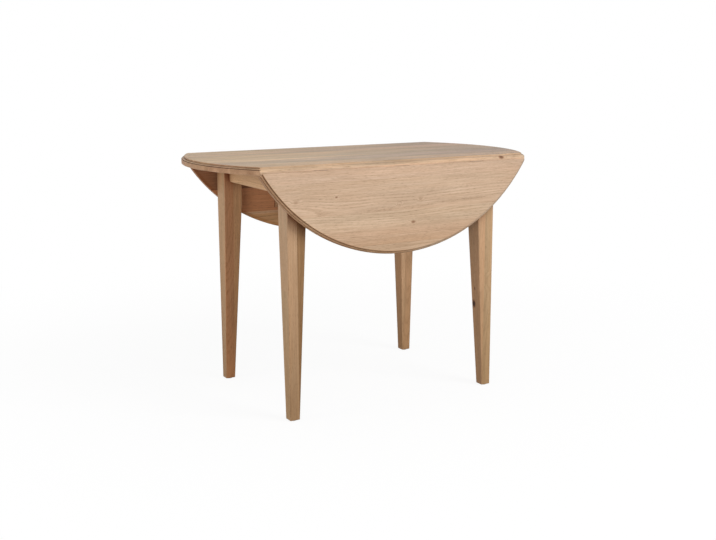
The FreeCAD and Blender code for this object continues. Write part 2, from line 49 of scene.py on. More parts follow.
# %% [markdown]
# ## The camera
# A product picture of a table is usually taken from a little above the top, with a normal lens from
# about three metres away, so that the legs stay upright and the top shows as a narrow ellipse. We
# place the camera by its bearing, rise and distance from a point near the middle of the table,
# because those are easier to judge than a position and three angles.

# %% Camera
PICTURE_WIDTH = 716             # pixels
FOCAL_LENGTH = 1020             # pixels, for a picture of that width
SENSOR_WIDTH = 36               # mm
CAMERA_BEARING, CAMERA_RISE, CAMERA_ROLL = -29.7, 11.3, -0.22       # degrees
CAMERA_DISTANCE = 3.325         # metres
TARGET = Vector((0.024, 0.016, 0.367))

back = direction_at(CAMERA_BEARING, CAMERA_RISE)
camera_data = bpy.data.cameras.new("camera")
camera_data.sensor_width = SENSOR_WIDTH
camera_data.lens = FOCAL_LENGTH * SENSOR_WIDTH / PICTURE_WIDTH
camera = bpy.data.objects.new("camera", camera_data)
camera.location = TARGET + back * CAMERA_DISTANCE
camera.rotation_mode = "QUATERNION"
rolled = Quaternion(Z_AXIS, math.radians(CAMERA_ROLL))
camera.rotation_quaternion = (-back).to_track_quat("-Z", "Y") @ rolled
bpy.context.scene.collection.objects.link(camera)
bpy.context.scene.camera = camera
bpy.context.scene.view_settings.view_transform = "Standard"
print("lens in mm:", round(camera_data.lens, 1))

# %% [markdown]
# ## Adding nodes
# Every finish below is a network of shader nodes. One function adds any kind of node: its settings
# are keyword arguments, and its sockets are given by name or number, either a value or the output
# of another node. It hands back the output that the next node needs, and `.node.outputs` of that
# output reaches the others. A second function turns an ordinary hex colour into the linear light
# that the renderer works in.

# %% A node and a colour
MIX_A, MIX_B = 6, 7                                     # the colour sockets of the Mix node
BLEND = {"out": 2, "data_type": "RGBA"}                 # a Mix that turns one colour into another
MULTIPLY = {"blend_type": "MULTIPLY", **BLEND}          # a Mix that multiplies one by the other
WHITE = "#FFFFFF"


def add(tree, kind, sockets=None, out=0, **settings):
    """Adds a node with its settings and links, and returns one of its outputs."""
    node = tree.nodes.new("ShaderNode" + kind)
    for name, value in settings.items():
        setattr(node, name, value)
    for name, value in (sockets or {}).items():
        if isinstance(value, bpy.types.NodeSocket):
            tree.links.new(value, node.inputs[name])
        else:
            node.inputs[name].default_value = value
    return node.outputs[out] if len(node.outputs) else node


def colour(hex_code):
    """An sRGB hex colour as linear red, green, blue and alpha."""
    channels = [int(hex_code[i:i + 2], 16) / 255 for i in (1, 3, 5)]
    linear = [c / 12.92 if c <= 0.04045 else ((c + 0.055) / 1.055) ** 2.4 for c in channels]
    return (*linear, 1)


def material(name):
    """An empty material and its tree of nodes."""
    made = bpy.data.materials.new(name)
    made.use_nodes = True
    made.node_tree.nodes.clear()
    return made, made.node_tree


print("middle grey in linear light:", round(colour("#808080")[0], 3))

# %% [markdown]
# ## Floor and light
# The table stands on a pale paper sweep in soft studio light. Lamps light the table from the paper
# too, so its true colour matters: a light grey sends up less than half of what falls on it, and the
# undersides stay deep. The camera and every reflection see the paper glow white instead, at a
# strength of 1. Near the table a small share of that look is real shading, which keeps the table's
# shadow. The share fades to nothing further out, so the sweep meets the white room with no horizon.

# %% Floor
FLOOR_HALF = 9.0                # metres
PAPER = "#B3B3B3"
SHADED_SHARE = 0.09             # of the look of the paper under the table
SHADED_TO, PLAIN_FROM = 0.5, 2.2        # metres from the middle of the table

floor_mesh = bpy.data.meshes.new("floor")
floor_mesh.from_pydata([(-FLOOR_HALF, -FLOOR_HALF, 0), (FLOOR_HALF, -FLOOR_HALF, 0),
                        (FLOOR_HALF, FLOOR_HALF, 0), (-FLOOR_HALF, FLOOR_HALF, 0)],
                       [], [(0, 1, 2, 3)])
floor = bpy.data.objects.new("floor", floor_mesh)
bpy.context.scene.collection.objects.link(floor)


def seen_or_reflected(tree):
    """1 for rays of the camera, of gloss and of glass, and 0 for the light that the table gets."""
    rays = add(tree, "LightPath").node.outputs
    direct = add(tree, "Math", {0: rays["Is Camera Ray"], 1: rays["Is Glossy Ray"]},
                 operation="MAXIMUM")
    return add(tree, "Math", {0: direct, 1: rays["Is Transmission Ray"]}, operation="MAXIMUM")


paper, tree = material("matt_grey_paper")
seen = seen_or_reflected(tree)
place = add(tree, "TexCoord", out="Object")
from_table = add(tree, "VectorMath", {0: place}, out="Value", operation="LENGTH")
glow_share = add(tree, "MapRange", {"Value": from_table, "From Min": SHADED_TO,
                                    "From Max": PLAIN_FROM, "To Min": 1 - SHADED_SHARE,
                                    "To Max": 1.0}, interpolation_type="SMOOTHSTEP")
share = add(tree, "Math", {0: seen, 1: glow_share}, operation="MULTIPLY")
tint = add(tree, "Mix", {0: seen, MIX_A: colour(PAPER), MIX_B: colour(WHITE)}, **BLEND)
shaded = add(tree, "BsdfDiffuse", {"Color": tint})
glowing = add(tree, "Emission", {"Color": colour(WHITE), "Strength": 1.0})
mixed = add(tree, "MixShader", {0: share, 1: shaded, 2: glowing})
add(tree, "OutputMaterial", {"Surface": mixed})
floor_mesh.materials.append(paper)
print("floor in metres:", 2 * FLOOR_HALF)

# %% [markdown]
# A large square box to the right of the camera is the main light, and it throws the leaf's shadow
# on the legs. A smaller one stands low on the left and brightens the left faces and the moulded
# edge. A third, low beside the camera, reaches in under the top. The room itself gives the rest,
# evenly. Together they are at the level where a colour renders about as it is written.

# %% Lamps and room
ROOM_LEVEL = 0.50               # light of the room on the table
AIM = Vector((0.02, 0.0, 0.45))
LAMPS = {
    # name: (bearing and rise in degrees, metres away, metres wide, watts)
    "key_box": (30, 35, 4.2, 1.8, 90),
    "left_box": (-90, 10, 3.0, 1.0, 18),
    "fill_box": (-45, 8, 3.5, 1.2, 23),
}
for name, (bearing, rise, away, width, watts) in LAMPS.items():
    lamp = bpy.data.lights.new(name, "AREA")
    lamp.size = width
    lamp.energy = watts
    holder = bpy.data.objects.new(name, lamp)
    direction = direction_at(bearing, rise)
    holder.location = AIM + away * direction
    holder.rotation_euler = (-direction).to_track_quat("-Z", "Y").to_euler()
    bpy.context.scene.collection.objects.link(holder)

world = bpy.data.worlds.new("white_room")
world.use_nodes = True
tree = world.node_tree
tree.nodes.clear()
level = add(tree, "MapRange", {"Value": seen_or_reflected(tree), "To Min": ROOM_LEVEL,
                               "To Max": 1.0})
sky = add(tree, "Background", {"Color": colour(WHITE), "Strength": level})
add(tree, "OutputWorld", {"Surface": sky})
bpy.context.scene.world = world
print("lamps:", len(LAMPS))

# %% [markdown]
# ## Oak
# Oak is ring-porous. Each year it lays down a row of open pores in spring and dense wood in summer,
# so a board shows the tree's rings as lines where it is cut along them and as arches where it is
# cut across them. Drawing that as a flat picture would break at every edge. We draw the tree
# instead: the distance from its pith gives the ring, in solid space, and every face then cuts it as
# a saw would, end grain included.
#
# The steps below take a place in the board's own axes, in metres: along the grain, across the board
# and through its thickness. A panel is glued from boards, so dice give each board its own pith, its
# own tone and its own slide along the grain. The trunk also wanders a little from a straight axis.

# %% A board and its pith
PITH_SIDEWAYS = 2.2             # board widths, the spread of the pith to either side
PITH_NEAREST = 45 * mm          # below the board
PITH_SPREAD = 110 * mm
TRUNK_WANDER = 14 * mm          # how far the trunk strays from a straight axis
NOISE_MIDDLE = (0.5, 0.5, 0.5)          # of its three channels
NOISE_SWING = 0.25              # how far a noise usually strays from its middle
WANDER_CELL = (900, 300, 300)   # mm along the grain, across the board and into it


def per_metre(cell):
    """How many cells of a pattern fit in a metre along each axis, from the size of one in mm."""
    return [1 / (length * mm) for length in cell]


def board_chances(tree, number, seed):
    """Random numbers of a board: one value, and three more from the channels of a colour."""
    key = add(tree, "Math", {0: number, 1: seed}, operation="ADD")
    dice = add(tree, "TexWhiteNoise", {"W": key}, noise_dimensions="1D").node.outputs
    return dice["Value"], *add(tree, "SeparateColor", {0: dice["Color"]}).node.outputs


def from_pith(tree, own, in_boards, number, board, deep, side_chance, depth_chance):
    """How far a place is from the pith of its board, and at what angle."""
    slow = add(tree, "VectorMath", {0: own, 1: per_metre(WANDER_CELL)}, operation="MULTIPLY")
    wander = add(tree, "TexNoise", {"Vector": slow, "Scale": 1.0, "Detail": 2.0, "Roughness": 0.45},
                 out="Color", noise_dimensions="3D")
    centred = add(tree, "VectorMath", {0: wander, 1: NOISE_MIDDLE}, operation="SUBTRACT")
    stray = add(tree, "VectorMath", {0: centred, "Scale": TRUNK_WANDER / NOISE_SWING},
                operation="SCALE")
    drift = add(tree, "SeparateXYZ", {0: stray}).node.outputs

    middle = add(tree, "Math", {0: number, 1: 0.5}, operation="ADD")
    from_middle = add(tree, "Math", {0: in_boards, 1: middle}, operation="SUBTRACT")
    leaning = add(tree, "MapRange", {"Value": side_chance, "To Min": -PITH_SIDEWAYS,
                                     "To Max": PITH_SIDEWAYS})
    off_pith = add(tree, "Math", {0: from_middle, 1: leaning}, operation="SUBTRACT")
    side = add(tree, "Math", {0: off_pith, 1: board, 2: drift[0]}, operation="MULTIPLY_ADD")
    depth = add(tree, "MapRange", {"Value": depth_chance, "To Min": PITH_NEAREST,
                                   "To Max": PITH_NEAREST + PITH_SPREAD})
    sunk = add(tree, "Math", {0: deep, 1: depth}, operation="ADD")
    up = add(tree, "Math", {0: sunk, 1: drift[1]}, operation="ADD")
    radial = add(tree, "CombineXYZ", {0: side, 1: up})
    radius = add(tree, "VectorMath", {0: radial}, out="Value", operation="LENGTH")
    return radius, add(tree, "Math", {0: up, 1: side}, operation="ARCTAN2")


print("pith below a board in mm:", round(PITH_NEAREST / mm), "to",
      round((PITH_NEAREST + PITH_SPREAD) / mm))

# %% [markdown]
# A ring starts sharply with its spring pores and fades into summer wood. Good and poor years make
# the rings wider and narrower, so the count of years runs unevenly. The pores are short dashes that
# are densest in spring wood. Rays run from the pith towards the bark, and a face that meets them
# shows small pale flecks.

# %% Rings, pores and rays
RING_WIDTH = 2.6 * mm           # one year's growth
UNEVEN_EVERY = 0.31             # changes of growth in a year
UNEVEN_BY = 2.6                 # years, between the slowest and the fastest growth
SPRING_ENDS, SPRING_NEARS = 0.55, 0.86          # shares of a year
PORE_STARTS, PORE_OPEN = 0.54, 0.66             # levels of the pore noise
LATE_PORES = 0.25               # share of the pores that summer wood keeps
RAY_CELL = (16, 1.0, 30)        # mm along the grain, round the pith and away from it
RAY_STARTS, RAY_FULL = 0.60, 0.74               # levels of the ray noise
RAY_ARC = 100 * mm              # from the pith, where a ray's place round it is measured


def year_ring(tree, radius):
    """1 where a ring starts with its spring wood, and 0 in summer wood."""
    years = add(tree, "Math", {0: radius, 1: RING_WIDTH}, operation="DIVIDE")
    uneven = add(tree, "TexNoise", {"W": years, "Scale": UNEVEN_EVERY, "Detail": 2.0},
                 noise_dimensions="1D")
    spread = add(tree, "Math", {0: uneven, 1: UNEVEN_BY, 2: years}, operation="MULTIPLY_ADD")
    season = add(tree, "Math", {0: spread}, operation="FRACT")
    spring = add(tree, "MapRange", {"Value": season, "From Min": 0.0, "From Max": SPRING_ENDS,
                                    "To Min": 1.0, "To Max": 0.0}, interpolation_type="SMOOTHSTEP")
    rise = add(tree, "MapRange", {"Value": season, "From Min": SPRING_NEARS, "From Max": 1.0},
               interpolation_type="SMOOTHSTEP")
    return add(tree, "Math", {0: spring, 1: rise}, operation="MAXIMUM")


def pores(tree, speck, ring):
    """1 in an open pore, less so in summer wood."""
    open_pore = add(tree, "MapRange", {"Value": speck, "From Min": PORE_STARTS,
                                       "From Max": PORE_OPEN}, interpolation_type="SMOOTHSTEP")
    in_spring = add(tree, "MapRange", {"Value": ring, "To Min": LATE_PORES, "To Max": 1.0})
    return add(tree, "Math", {0: open_pore, 1: in_spring}, operation="MULTIPLY")


def ray_flecks(tree, own, radius, angle):
    """1 on a fleck, where a ray meets the face."""
    along = add(tree, "SeparateXYZ", {0: own}, out="X")
    round_pith = add(tree, "Math", {0: angle, 1: RAY_ARC}, operation="MULTIPLY")
    place = add(tree, "CombineXYZ", {0: along, 1: round_pith, 2: radius})
    in_cells = add(tree, "VectorMath", {0: place, 1: per_metre(RAY_CELL)}, operation="MULTIPLY")
    noise = add(tree, "TexNoise", {"Vector": in_cells, "Scale": 1.0, "Detail": 1.0})
    return add(tree, "MapRange", {"Value": noise, "From Min": RAY_STARTS, "From Max": RAY_FULL},
               interpolation_type="SMOOTHSTEP")


print("rings in 100 mm:", round(100 * mm / RING_WIDTH))

# %% [markdown]
# Now the steps go together into one group of nodes that every piece of oak shares. It adds four
# noises that are stretched along the grain: the fibre itself, slow clouds of tone, long streaks and
# the specks that become pores. What is too fine for a picture of the whole table is drawn coarser.

# %% The figure of oak
LONGEST_SLIDE = 37.0            # metres along the grain, so that no two boards look alike
NOISES = {
    # name: (cell in mm along the grain, across the board and into it, detail, roughness)
    "Fibre": ((95, 3.4, 3.4), 3.0, 0.6),        # drawn coarse: real fibre is too fine to show
    "Cloud": ((480, 60, 60), 2.0, 0.5),         # slow change of tone along a board
    "Drift": ((360, 24, 24), 3.0, 0.5),         # long streaks, warmer or greyer
    "Speck": ((13, 1.1, 1.1), 1.0, 0.5),        # real pores are 0.3 mm wide and would not show
}


def oak_figure():
    """The group that draws oak from a place, a board width and a seed."""
    tree = bpy.data.node_groups.new("oak_figure", "ShaderNodeTree")
    for name, kind in (("Place", "Vector"), ("Board", "Float"), ("Seed", "Float")):
        tree.interface.new_socket(name=name, in_out="INPUT", socket_type="NodeSocket" + kind)
    given = tree.nodes.new("NodeGroupInput").outputs
    place, board, seed = given["Place"], given["Board"], given["Seed"]
    _, across, deep = add(tree, "SeparateXYZ", {0: place}).node.outputs

    in_boards = add(tree, "Math", {0: across, 1: board}, operation="DIVIDE")
    number = add(tree, "Math", {0: in_boards}, operation="FLOOR")
    value, side_chance, depth_chance, tone_chance = board_chances(tree, number, seed)
    slide = add(tree, "Math", {0: value, 1: LONGEST_SLIDE}, operation="MULTIPLY")
    shift = add(tree, "CombineXYZ", {0: slide, 1: slide, 2: slide})
    own = add(tree, "VectorMath", {0: place, 1: shift}, operation="ADD")
    radius, angle = from_pith(tree, own, in_boards, number, board, deep, side_chance, depth_chance)

    drawn = {"Ring": year_ring(tree, radius), "Ray": ray_flecks(tree, own, radius, angle),
             "Board Tone": tone_chance, "Board Hue": value}
    for name, (cell, detail, roughness) in NOISES.items():
        in_cells = add(tree, "VectorMath", {0: own, 1: per_metre(cell)}, operation="MULTIPLY")
        drawn[name] = add(tree, "TexNoise", {"Vector": in_cells, "Scale": 1.0, "Detail": detail,
                                             "Roughness": roughness})
    drawn["Pore"] = pores(tree, drawn.pop("Speck"), drawn["Ring"])

    for name in drawn:
        tree.interface.new_socket(name=name, in_out="OUTPUT", socket_type="NodeSocketFloat")
    result = tree.nodes.new("NodeGroupOutput")
    for name, value in drawn.items():
        tree.links.new(value, result.inputs[name])
    return tree


figure = oak_figure()
print("nodes in the oak figure:", len(figure.nodes))

# %% [markdown]
# ## Oak as a finish
# The figure gives plain numbers. Here they become a colour, a roughness and a fine relief. A knot
# is a branch in cross-section: the rings bulge round it, so we push the place away from the face
# near it before the figure is drawn. Afterwards we stain it: its core is almost black, and the wood
# in a halo round it is browner than the rest.

# %% Knots
KNOT_BULGE = 4 * mm             # how far the rings are pushed round a knot
KNOT_REACH = 3.5                # knot radii over which they are
KNOT_DARK, KNOT_CLEAR = 0.3, 1.3        # knot radii where the stain begins to fade and ends
KNOT_CORE = 2.0                 # power of the stain that leaves only its core
ALONG_KNOT = (0.6, 1.0, 1.0)    # a knot is longer along the grain
KNOT_SHADE = "#2A1203"
KNOT_HALO = "#B8875E"


def board_axes(grain, across):
    """The turn from the table's axes to a board's: along its grain, across it and into it."""
    return Matrix((grain, across, grain.cross(across)))


def with_knots(tree, place, knots):
    """The place pushed round each knot, and a mask of how dark each knot stains it."""
    mask = None
    pushed = place
    for centre, radius, strength in knots:
        away = add(tree, "VectorMath", {0: place, 1: centre}, operation="SUBTRACT")
        drawn_out = add(tree, "VectorMath", {0: away, 1: ALONG_KNOT}, operation="MULTIPLY")
        far = add(tree, "VectorMath", {0: drawn_out}, out="Value", operation="LENGTH")
        bulge = add(tree, "MapRange", {"Value": far, "From Min": 0.0,
                                       "From Max": KNOT_REACH * radius,
                                       "To Min": KNOT_BULGE, "To Max": 0.0},
                    interpolation_type="SMOOTHSTEP")
        lift = add(tree, "CombineXYZ", {2: bulge})
        pushed = add(tree, "VectorMath", {0: pushed, 1: lift}, operation="ADD")
        inside = add(tree, "MapRange", {"Value": far, "From Min": KNOT_DARK * radius,
                                        "From Max": KNOT_CLEAR * radius,
                                        "To Min": strength, "To Max": 0.0},
                     interpolation_type="SMOOTHSTEP")
        mask = inside if mask is None else add(tree, "Math", {0: mask, 1: inside},
                                               operation="MAXIMUM")
    return pushed, mask


def knot_stained(tree, wood, knot):
    """The wood with its knots in their halos."""
    haloed = add(tree, "Mix", {0: knot, MIX_A: wood, MIX_B: colour(KNOT_HALO)}, **MULTIPLY)
    core = add(tree, "Math", {0: knot, 1: KNOT_CORE}, operation="POWER")
    return add(tree, "Mix", {0: core, MIX_A: haloed, MIX_B: colour(KNOT_SHADE)}, **BLEND)


print("rings bulge round a knot by", round(KNOT_BULGE / mm), "mm")

# %% [markdown]
# Not every piece takes the oil alike. The legs and the frame are darker and redder than the top,
# and a leg shows a different board on each side of its glue line. So each piece has a stain, or one
# for each of its boards: white leaves the oak as it is, and any other colour is multiplied with it.
# A stain starts at a place across the piece. It holds from there to the next, as boards do, or
# changes gradually between the two, as heartwood does within a board.
#
# One side can have boards of its own, and a painted shade can grow darker along the grain.

# %% Stains
STAIN_SPAN = 300 * mm           # reach of the boards to either side of the middle of a piece
WHOLE = -STAIN_SPAN             # where the first board of a piece starts
LOOKS_AWAY, LOOKS_THERE = math.cos(math.radians(40)), 0.99      # cosines of angles to a direction


def stain_of(tree, place, boards, change="CONSTANT"):
    """The stain of each board, from the place across the piece where it starts."""
    across = add(tree, "SeparateXYZ", {0: place}, out="Y")
    share = add(tree, "MapRange", {"Value": across, "From Min": -STAIN_SPAN,
                                   "From Max": STAIN_SPAN})
    chart = add(tree, "ValToRGB", {0: share})
    ramp = chart.node.color_ramp
    ramp.interpolation = change
    stops = ramp.elements
    stops.remove(stops[1])
    for number, (start, stain) in enumerate(boards):
        stop = stops.new((start + STAIN_SPAN) / (2 * STAIN_SPAN)) if number else stops[0]
        stop.color = colour(stain)
    return chart


def faces(tree, looks, direction):
    """1 on a surface that looks in a direction, fading to 0 where it has turned away."""
    turned = add(tree, "VectorMath", {0: looks, 1: direction}, out="Value", operation="DOT_PRODUCT")
    return add(tree, "MapRange", {"Value": turned, "From Min": LOOKS_AWAY, "From Max": LOOKS_THERE})


def stained(tree, wood, place, looks, boards, change, one_side, painted_shade_along):
    """The wood with the stains of its boards and those of one side, and a painted shade that
    darkens it towards an end.
    """
    result = add(tree, "Mix", {0: 1.0, MIX_A: wood, MIX_B: stain_of(tree, place, boards, change)},
                 **MULTIPLY)
    if one_side:
        direction, its_boards = one_side
        its_own = add(tree, "Mix", {0: 1.0, MIX_A: wood, MIX_B: stain_of(tree, place, its_boards)},
                      **MULTIPLY)
        result = add(tree, "Mix", {0: faces(tree, looks, direction), MIX_A: result, MIX_B: its_own},
                     **BLEND)
    # Painted shade that darkens the wood along the grain.
    if painted_shade_along:
        start, end, deeper, direction = painted_shade_along
        along = add(tree, "SeparateXYZ", {0: place}, out="X")
        depth = add(tree, "MapRange", {"Value": along, "From Min": start, "From Max": end})
        if direction:
            depth = add(tree, "Math", {0: depth, 1: faces(tree, looks, direction)},
                        operation="MULTIPLY")
        result = add(tree, "Mix", {0: depth, MIX_A: result, MIX_B: colour(deeper)}, **MULTIPLY)
    return result


print("stains reach over", round(2 * STAIN_SPAN / mm), "mm")

# %% [markdown]
# Oiled oak is a pale straw brown. Spring wood and pores are darker, rays a little lighter, and each
# board leans towards pink or olive. Streaks along the grain are warmer or greyer, though not on end
# grain, which the streaks only meet as dots.

# %% The colour of the figure
SUMMER_WOOD = "#DFC3AD"
SPRING_WOOD = "#BEA189"
RAY_SHADE, RAY_SHARE = "#E8D1B8", 0.35
PORE_SHADE, PORE_SHARE = "#8D7159", 0.48
PINK_BOARD, OLIVE_BOARD = "#F4E7DC", "#F1E9D8"
HUE_SHARE = 0.8                 # of a board's hue
WARM_PATCH, GREY_PATCH = "#FFF4E6", "#ECF5FA"
PATCH_STARTS, PATCH_FULL = 0.35, 0.65           # levels of the streak noise
FACE_GRAIN, END_GRAIN = 0.2, 0.9        # cosines of the angle between the normal and the grain


def end_grain(tree, looks, grain):
    """1 on end grain, and 0 on a face along the grain."""
    along_grain = add(tree, "VectorMath", {0: looks, 1: grain}, out="Value",
                      operation="DOT_PRODUCT")
    end = add(tree, "Math", {0: along_grain}, operation="ABSOLUTE")
    return add(tree, "MapRange", {"Value": end, "From Min": FACE_GRAIN, "From Max": END_GRAIN},
               interpolation_type="SMOOTHSTEP")


def figured(tree, got, rings, patches, end_share):
    """The colour of the oak before any stain."""
    wood = colour(SUMMER_WOOD)
    for name, most, shade in (("Ring", rings, SPRING_WOOD), ("Ray", RAY_SHARE, RAY_SHADE),
                              ("Pore", PORE_SHARE, PORE_SHADE)):
        share = add(tree, "Math", {0: got[name], 1: most}, operation="MULTIPLY")
        wood = add(tree, "Mix", {0: share, MIX_A: wood, MIX_B: colour(shade)}, **BLEND)
    hue = add(tree, "Mix", {0: got["Board Hue"], MIX_A: colour(PINK_BOARD),
                            MIX_B: colour(OLIVE_BOARD)}, **BLEND)
    tinted = add(tree, "Mix", {0: HUE_SHARE, MIX_A: wood, MIX_B: hue}, **MULTIPLY)

    streak = add(tree, "MapRange", {"Value": got["Drift"], "From Min": PATCH_STARTS,
                                    "From Max": PATCH_FULL})
    patch = add(tree, "Mix", {0: streak, MIX_A: colour(WARM_PATCH), MIX_B: colour(GREY_PATCH)},
                **BLEND)
    on_faces = add(tree, "MapRange", {"Value": end_share, "To Min": patches, "To Max": 0.0})
    return add(tree, "Mix", {0: on_faces, MIX_A: tinted, MIX_B: patch}, **MULTIPLY)


print("summer wood in linear light:", [round(c, 2) for c in colour(SUMMER_WOOD)[:3]])

# %% [markdown]
# Oak also varies in lightness: along its fibres, in slow clouds and streaks, and from board to
# board. Edges are eased by hand and painted paler, partly for wear and partly as a painted
# highlight: the Bevel node rounds their light, and where its normal leaves the surface's own we
# know that an edge is near. Darker oak is a little more saturated too, so the lightness is applied
# with a different power to red, green and blue.

# %% Lightness
EDGE_RADIUS = 1.2 * mm
EDGE_SAMPLES = 6                # rays of the Bevel node
DEEPER_TONE = (0.82, 1.0, 1.22)         # powers of red, green and blue
VARIES = {
    # output of the figure: (its low and high, the lightness that they give)
    "Fibre": (0.25, 0.75, 0.83, 1.17),
    "Cloud": (0.25, 0.75, 0.91, 1.09),
    "Board Tone": (0.0, 1.0, 0.97, 1.04),
}
STREAK_LOW, STREAK_HIGH = 0.30, 0.70    # levels of the streak noise
ROUNDED_EDGE, FLAT_FACE = 0.80, 1.0        # cosines between the rounded normal and the surface's own
EDGE_WEAR_AND_HIGHLIGHT = 1.12                        # lightness of an edge: wear and a painted highlight


def varied(tree, wood, got, eased, mottle):
    """The wood, lighter and darker with its fibres, clouds, boards, streaks, and edges paler for
    wear and a painted highlight.
    """
    facing = add(tree, "NewGeometry", out="Normal")
    agree = add(tree, "VectorMath", {0: eased, 1: facing}, out="Value", operation="DOT_PRODUCT")
    ranges = [(got[name], *span) for name, span in VARIES.items()]
    ranges.append((got["Drift"], STREAK_LOW, STREAK_HIGH, 1 + mottle, 1 - mottle))
    ranges.append((agree, ROUNDED_EDGE, FLAT_FACE, EDGE_WEAR_AND_HIGHLIGHT, 1.0))
    light = None
    for value, low, high, at_low, at_high in ranges:
        part = add(tree, "MapRange", {"Value": value, "From Min": low, "From Max": high,
                                      "To Min": at_low, "To Max": at_high})
        light = part if light is None else add(tree, "Math", {0: light, 1: part},
                                               operation="MULTIPLY")
    tones = {channel: add(tree, "Math", {0: light, 1: power}, operation="POWER")
             for channel, power in enumerate(DEEPER_TONE)}
    tone = add(tree, "CombineColor", tones)
    return add(tree, "Mix", {0: 1.0, MIX_A: wood, MIX_B: tone}, **MULTIPLY)


print("darkest and lightest fibre:", VARIES["Fibre"][2:])

# %% [markdown]
# Marks of use and painted shade come last. End grain drinks more oil than a face does, so it is
# darker. The three parts of the top share a moulded rim with a stain of its own, and its grooves
# get painted shade, which we find with a short ambient occlusion. Towards one end of the table the
# rim's stain and painted shade fade out, and the rim is painted paler and greyer. On the frame,
# painted shade darkens the corners where pieces meet, well above the floor: a longer occlusion
# finds those corners, on all pieces together.

# %% End grain, the rim and painted shade
END_SHADE = "#D2C2B4"
# painted shade in the rim's grooves, found by a short occlusion
GROOVE_SHADE = "#5C3414"
GROOVE_REACH = 5 * mm
GROOVE_DEEP, GROOVE_OPEN = 0.35, 0.90           # shares of open sky inside a groove and outside it
RIM_RADIUS = 537 * mm           # of the round top
RIM_WIDTH = 10.5 * mm           # of its moulded rim, to the bottom of the undercut
# towards one end the rim is painted paler and greyer, and its stain and painted shade fade out
PALER_RIM_FROM, PALER_RIM_TO = 0.0, 100 * mm          # from the middle of the table to the right
PALER_RIM_SHARE = 0.85
PALER_RIM_TINT = "#F4FAFF"
# painted shade in the frame's corners, found by a longer occlusion
CORNER_SHADE = "#946A47"
CORNER_REACH = 60 * mm
CORNER_DEEP, CORNER_OPEN = 0.45, 0.95           # the same in a corner and away from it
SHADE_FADES_BELOW, SHADE_FULL_ABOVE = 100 * mm, 300 * mm   # height over the floor
SKY_SAMPLES = 8                 # rays of each occlusion


def rim_with_groove_shade(tree, wood, own, centre, in_plane, stain):
    """The wood with a stained rim and painted shade in its grooves, paler towards one end."""
    away = add(tree, "VectorMath", {0: own, 1: centre}, operation="SUBTRACT")
    flat = add(tree, "VectorMath", {0: away, 1: in_plane}, operation="MULTIPLY")
    radius = add(tree, "VectorMath", {0: flat}, out="Value", operation="LENGTH")
    rim = add(tree, "Math", {0: radius, 1: RIM_RADIUS - RIM_WIDTH}, operation="GREATER_THAN")

    along = add(tree, "SeparateXYZ", {0: own}, out="X")
    paler_share = add(tree, "MapRange", {"Value": along, "From Min": PALER_RIM_FROM, "From Max": PALER_RIM_TO,
                                    "To Max": PALER_RIM_SHARE})
    paler_rim = add(tree, "Math", {0: rim, 1: paler_share}, operation="MULTIPLY")
    oiled = add(tree, "Math", {0: rim, 1: paler_rim}, operation="SUBTRACT")
    wood = add(tree, "Mix", {0: oiled, MIX_A: wood, MIX_B: colour(stain)}, **MULTIPLY)
    wood = add(tree, "Mix", {0: paler_rim, MIX_A: wood, MIX_B: colour(PALER_RIM_TINT)}, **MULTIPLY)

    # Painted shade where a groove is deep.
    sky_share = add(tree, "AmbientOcclusion", {"Distance": GROOVE_REACH}, out="AO",
                    samples=SKY_SAMPLES, only_local=True)
    groove_shade_share = add(tree, "MapRange", {"Value": sky_share, "From Min": GROOVE_DEEP,
                                 "From Max": GROOVE_OPEN, "To Min": 1.0, "To Max": 0.0})
    share = add(tree, "Math", {0: groove_shade_share, 1: oiled}, operation="MULTIPLY")
    return add(tree, "Mix", {0: share, MIX_A: wood, MIX_B: colour(GROOVE_SHADE)}, **MULTIPLY)


def corner_painted_shade(tree, wood, own):
    """The wood with painted shade where pieces meet, well above the floor."""
    # Painted shade where another piece is near.
    sky_share = add(tree, "AmbientOcclusion", {"Distance": CORNER_REACH}, out="AO",
                    samples=SKY_SAMPLES)
    corner_shade_share = add(tree, "MapRange", {"Value": sky_share, "From Min": CORNER_DEEP,
                                  "From Max": CORNER_OPEN, "To Min": 1.0, "To Max": 0.0})
    height = add(tree, "SeparateXYZ", {0: own}, out="Z")
    high = add(tree, "MapRange", {"Value": height, "From Min": SHADE_FADES_BELOW,
                                  "From Max": SHADE_FULL_ABOVE})
    share = add(tree, "Math", {0: corner_shade_share, 1: high}, operation="MULTIPLY")
    return add(tree, "Mix", {0: share, MIX_A: wood, MIX_B: colour(CORNER_SHADE)}, **MULTIPLY)


print("the moulded rim starts", round((RIM_RADIUS - RIM_WIDTH) / mm, 1), "mm from the middle")

# %% [markdown]
# The surface itself is almost flat. Pores are open, spring wood sinks a little, and summer wood
# takes the oil smoother, so it has a little more sheen. Oil leaves far less gloss than a varnish,
# so the specular level is half of what is usual.

# %% The finish
RING_SINKS = 0.35               # of a pore's depth
SMOOTHEST, ROUGHEST = 0.52, 0.72
RELIEF_STRENGTH, RELIEF_DEPTH = 0.35, 0.25 * mm
OIL_IOR, OIL_SPECULAR = 1.45, 0.25


